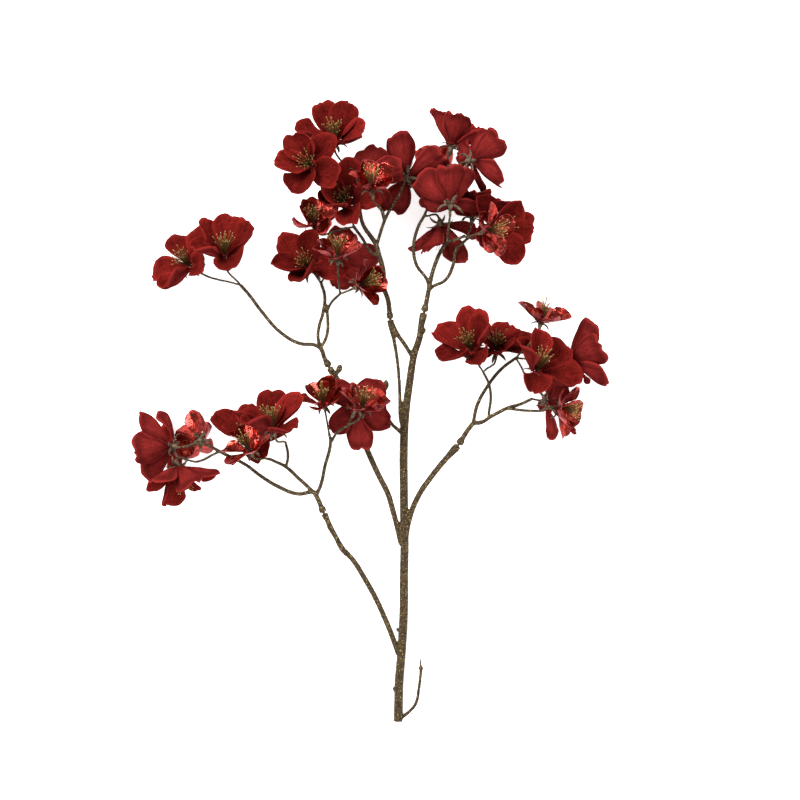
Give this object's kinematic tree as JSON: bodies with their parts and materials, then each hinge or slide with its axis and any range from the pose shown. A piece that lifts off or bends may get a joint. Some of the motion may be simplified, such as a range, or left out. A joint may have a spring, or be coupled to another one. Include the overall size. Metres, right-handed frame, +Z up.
{
  "type": "artificial flowering branch",
  "caption": "Artificial flowering branch lying flat: forked brown stem with plugged-in heads of red velvet and foil blooms, each with five petals and a brush of stamens.",
  "frame": {"origin": "bottom centre of the whole branch's box, on the surface that it lies on", "axes": "+Y along the stem from its cut end towards the flowers, +X to the right as seen from above, +Z up off the surface"},
  "size_m": [0.4702, 0.6228, 0.1322],
  "materials": {
    "stem": "moulded, brown with gold glitter",
    "velvet": "short dark red velvet pile",
    "foil": "crinkled metallic red film"
  },
  "bodies": {
    "root": {"main_stem": "stem", "head_upper_left": "stem", "head_mid_left": "stem", "head_upper_right": "stem", "head_lower_left": "stem", "head_right": "stem", "petals_velvet_1": "velvet", "petals_velvet_2": "velvet", "petals_velvet_3": "velvet", "petals_velvet_4": "velvet", "petals_velvet_5": "velvet", "petals_velvet_6": "velvet", "petals_velvet_7": "velvet", "petals_velvet_8": "velvet", "petals_velvet_9": "velvet", "petals_velvet_10": "velvet", "petals_velvet_11": "velvet", "petals_velvet_12": "velvet", "petals_velvet_13": "velvet", "petals_velvet_14": "velvet", "petals_velvet_15": "velvet", "petals_velvet_16": "velvet", "petals_velvet_17": "velvet", "petals_velvet_18": "velvet", "petals_velvet_19": "velvet", "petals_velvet_20": "velvet", "petals_velvet_21": "velvet", "petals_velvet_22": "velvet", "petals_velvet_23": "velvet", "petals_velvet_24": "velvet", "petals_velvet_25": "velvet", "petals_foil_1": "foil", "petals_foil_2": "foil", "petals_foil_3": "foil", "petals_foil_4": "foil", "petals_foil_5": "foil", "petals_foil_6": "foil", "petals_foil_7": "foil", "petals_foil_8": "foil", "petals_foil_9": "foil", "petals_foil_10": "foil", "petals_foil_11": "foil", "petals_foil_12": "foil"}
  },
  "joints": []
}
